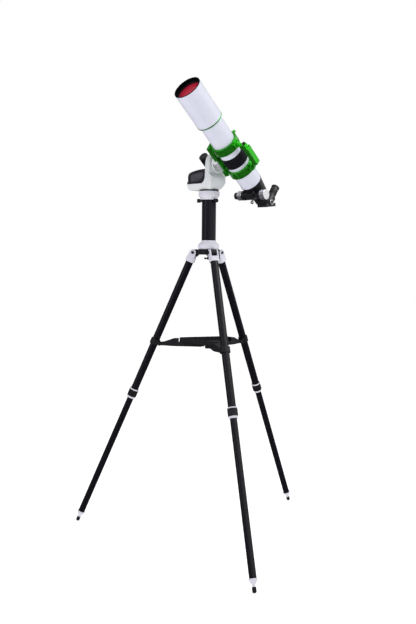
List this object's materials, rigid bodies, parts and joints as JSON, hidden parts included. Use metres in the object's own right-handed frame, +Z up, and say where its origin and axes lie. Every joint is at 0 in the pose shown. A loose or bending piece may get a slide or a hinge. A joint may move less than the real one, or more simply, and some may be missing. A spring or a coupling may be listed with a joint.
{
  "type": "telescope on tripod",
  "caption": "Refractor telescope clamped to a motorised arm mount on a short pillar and a folding tripod with a tray.",
  "frame": {"origin": "middle of the bounding box in X and Y, on the ground under the tripod's feet", "axes": "+Z up, along the pillar; +X from the mount's arm towards the telescope; the tube points towards -Y and up"},
  "size_m": [0.981, 0.8864, 1.7487],
  "materials": {
    "white_shell": "smooth off-white enamel look",
    "white_enamel": "white enamelled aluminium",
    "white_plastic": "white moulded plastic",
    "charcoal_metal": "charcoal powder-coated tube",
    "black_plastic": "black moulded plastic",
    "black_anodised": "black anodised",
    "battery_grey": "dark grey fine-grained plastic",
    "battery_cells": "wrapped cells",
    "green_anodised": "bright green anodised",
    "rubber": "black rubber",
    "steel": "plain steel",
    "silver": "polished silver",
    "glass_red": "coated glass with a red sheen"
  },
  "bodies": {
    "tripod_head": {"hub_plate": "black_plastic", "hinge_bolts": "steel", "pillar_base_flange": "white_plastic", "pillar_tube": "charcoal_metal", "pillar_top_flange": "white_plastic", "pillar_screws": "black_plastic", "azimuth_base": "white_enamel"},
    "centre_bolt": {"centre_bolt": "steel"},
    "leg_front": {"leg_bracket_front": "white_plastic", "upper_tube_front": "charcoal_metal", "spreader_clamp_front": "black_plastic"},
    "twist_lock_front": {"twist_lock_front": "black_plastic"},
    "lower_leg_front": {"lower_tube_front": "charcoal_metal", "foot_front": "rubber"},
    "spreader_arm_front": {"spreader_arm_front": "black_plastic"},
    "leg_right": {"leg_bracket_right": "white_plastic", "upper_tube_right": "charcoal_metal", "spreader_clamp_right": "black_plastic"},
    "twist_lock_right": {"twist_lock_right": "black_plastic"},
    "lower_leg_right": {"lower_tube_right": "charcoal_metal", "foot_right": "rubber"},
    "spreader_arm_right": {"spreader_arm_right": "black_plastic"},
    "leg_left": {"leg_bracket_left": "white_plastic", "upper_tube_left": "charcoal_metal", "spreader_clamp_left": "black_plastic"},
    "twist_lock_left": {"twist_lock_left": "black_plastic"},
    "lower_leg_left": {"lower_tube_left": "charcoal_metal", "foot_left": "rubber"},
    "spreader_arm_left": {"spreader_arm_left": "black_plastic"},
    "tray": {"spreader_hub": "black_plastic", "accessory_tray": "black_plastic"},
    "tray_knob": {"tray_knob": "black_plastic"},
    "mount": {"mount_shell": "white_shell", "battery_cover": "battery_grey", "battery_cells": "battery_cells"},
    "altitude": {"altitude_shaft": "steel", "saddle": "white_enamel", "sun_sensor": "black_plastic"},
    "saddle_jaw": {"saddle_jaw": "white_enamel"},
    "saddle_knob": {"saddle_knob": "black_plastic"},
    "telescope": {"dovetail_bar": "green_anodised", "ring_base_front": "green_anodised", "ring_base_rear": "green_anodised", "main_tube": "white_enamel", "tube_grip": "rubber", "objective_cell": "black_anodised", "objective_lens": "glass_red", "focuser_housing": "black_anodised"},
    "ring_caps": {"ring_cap_front": "green_anodised", "ring_cap_rear": "green_anodised", "ring_screws": "green_anodised", "carry_handle": "green_anodised"},
    "dew_shield": {"dew_shield": "white_enamel", "trim_ring": "green_anodised"},
    "drawtube": {"drawtube": "black_anodised"},
    "focus_knobs": {"pinion_shaft": "black_anodised", "coarse_knobs": "silver"},
    "fine_knob": {"fine_knob": "black_anodised"},
    "diagonal": {"star_diagonal": "black_plastic"},
    "eyepiece": {"eyepiece": "black_plastic"}
  },
  "joints": [
    {"name": "leg_front_fold", "type": "hinge", "parent": "tripod_head", "child": "leg_front", "pos_m": [0.06327, -0.15461, 1.1384], "axis": [0.5367, 0.8438, 0], "range_deg": [0, 6.5]},
    {"name": "spreader_arm_front_hinge", "type": "hinge", "parent": "leg_front", "child": "spreader_arm_front", "pos_m": [0.17847, -0.22788, 0.76803], "axis": [0.5367, 0.8438, 0], "range_deg": [0, 34.6]},
    {"name": "leg_lock_front_twist", "type": "hinge", "parent": "leg_front", "child": "twist_lock_front", "pos_m": [0.27711, -0.29063, 0.56162], "axis": [-0.3394, 0.2159, 0.9155], "range_deg": [0, 90]},
    {"name": "lower_leg_front_slide", "type": "slide", "parent": "leg_front", "child": "lower_leg_front", "axis": [-0.3394, 0.2159, 0.9155], "range_m": [0, 0.52]},
    {"name": "leg_right_fold", "type": "hinge", "parent": "tripod_head", "child": "leg_right", "pos_m": [0.01458, -0.06123, 1.1384], "axis": [-0.9991, 0.0429, 0], "range_deg": [0, 6.5]},
    {"name": "spreader_arm_right_hinge", "type": "hinge", "parent": "leg_right", "child": "spreader_arm_right", "pos_m": [0.02044, 0.07516, 0.76803], "axis": [-0.9991, 0.0429, 0], "range_deg": [0, 34.6]},
    {"name": "leg_lock_right_twist", "type": "hinge", "parent": "leg_right", "child": "twist_lock_right", "pos_m": [0.02546, 0.19196, 0.56162], "axis": [-0.0173, -0.4019, 0.9155], "range_deg": [0, 90]},
    {"name": "lower_leg_right_slide", "type": "slide", "parent": "leg_right", "child": "lower_leg_right", "axis": [-0.0173, -0.4019, 0.9155], "range_m": [0, 0.52]},
    {"name": "leg_left_fold", "type": "hinge", "parent": "tripod_head", "child": "leg_left", "pos_m": [-0.04194, -0.15009, 1.1384], "axis": [0.4624, -0.8867, 0], "range_deg": [0, 6.5]},
    {"name": "spreader_arm_left_hinge", "type": "hinge", "parent": "leg_left", "child": "spreader_arm_left", "pos_m": [-0.16299, -0.21321, 0.76803], "axis": [0.4624, -0.8867, 0], "range_deg": [0, 34.6]},
    {"name": "leg_lock_left_twist", "type": "hinge", "parent": "leg_left", "child": "twist_lock_left", "pos_m": [-0.26665, -0.26727, 0.56162], "axis": [0.3567, 0.186, 0.9155], "range_deg": [0, 90]},
    {"name": "lower_leg_left_slide", "type": "slide", "parent": "leg_left", "child": "lower_leg_left", "axis": [0.3567, 0.186, 0.9155], "range_m": [0, 0.52]},
    {"name": "tray_rise", "type": "slide", "parent": "tripod_head", "child": "tray", "axis": [0, 0, 1], "range_m": [0, 0.101]},
    {"name": "tray_knob_turn", "type": "hinge", "parent": "tray", "child": "tray_knob", "pos_m": [0.01197, -0.12198, 0.762], "axis": [0, 0, 1], "continuous": true},
    {"name": "centre_bolt_turn", "type": "hinge", "parent": "tripod_head", "child": "centre_bolt", "pos_m": [0.01197, -0.12198, 1.1155], "axis": [0, 0, 1], "continuous": true},
    {"name": "azimuth", "type": "hinge", "parent": "tripod_head", "child": "mount", "pos_m": [0.01197, -0.12198, 1.383], "axis": [0, 0, 1], "continuous": true},
    {"name": "altitude", "type": "hinge", "parent": "mount", "child": "altitude", "pos_m": [0.05097, -0.12198, 1.48], "axis": [-1, 0, 0], "range_deg": [-38, 49.5]},
    {"name": "saddle_jaw_slide", "type": "slide", "parent": "altitude", "child": "saddle_jaw", "axis": [0, 0.6198, 0.7848], "range_m": [0, 0.0025]},
    {"name": "saddle_knob_turn", "type": "hinge", "parent": "altitude", "child": "saddle_knob", "pos_m": [0.06777, -0.09409, 1.51531], "axis": [0, 0.6198, 0.7848], "range_deg": [0, 901]},
    {"name": "balance_slide", "type": "slide", "parent": "altitude", "child": "telescope", "axis": [0, -0.7848, 0.6198], "range_m": [-0.03, 0.02]},
    {"name": "ring_caps_open", "type": "hinge", "parent": "telescope", "child": "ring_caps", "pos_m": [0.09858, -0.13789, 1.51793], "axis": [0, -0.7848, 0.6198], "range_deg": [0, 75]},
    {"name": "dew_shield_slide", "type": "slide", "parent": "telescope", "child": "dew_shield", "axis": [0, -0.7848, 0.6198], "range_m": [0, 0.09]},
    {"name": "focus", "type": "slide", "parent": "telescope", "child": "drawtube", "axis": [0, 0.7848, -0.6198], "range_m": [-0.012, 0.045]},
    {"name": "coarse_focus_turn", "type": "hinge", "parent": "telescope", "child": "focus_knobs", "pos_m": [0.21327, -0.0419, 1.36197], "axis": [1, 0, 0], "range_deg": [-80, 290]},
    {"name": "fine_focus_turn", "type": "hinge", "parent": "telescope", "child": "fine_knob", "pos_m": [0.09327, -0.0419, 1.36197], "axis": [1, 0, 0], "range_deg": [-770, 2870]},
    {"name": "diagonal_turn", "type": "hinge", "parent": "drawtube", "child": "diagonal", "pos_m": [0.15327, 0.03498, 1.35604], "axis": [0, -0.7848, 0.6198], "range_deg": [-90, 35]},
    {"name": "eyepiece_slide", "type": "slide", "parent": "diagonal", "child": "eyepiece", "axis": [0, 0.6198, 0.7848], "range_m": [0, 0.025]}
  ],
  "couplings": [
    {"joint": "spreader_arm_front_hinge", "follows": "leg_front_fold", "ratio": 5.3},
    {"joint": "leg_right_fold", "follows": "leg_front_fold", "ratio": 1},
    {"joint": "spreader_arm_right_hinge", "follows": "leg_front_fold", "ratio": 5.3},
    {"joint": "leg_left_fold", "follows": "leg_front_fold", "ratio": 1},
    {"joint": "spreader_arm_left_hinge", "follows": "leg_front_fold", "ratio": 5.3},
    {"joint": "tray_rise", "follows": "leg_front_fold", "m_per_rad": 0.885},
    {"joint": "saddle_knob_turn", "follows": "saddle_jaw_slide", "rad_per_m": 6283.2},
    {"joint": "coarse_focus_turn", "follows": "focus", "rad_per_m": 111.11},
    {"joint": "fine_focus_turn", "follows": "focus", "rad_per_m": 1111.1}
  ]
}
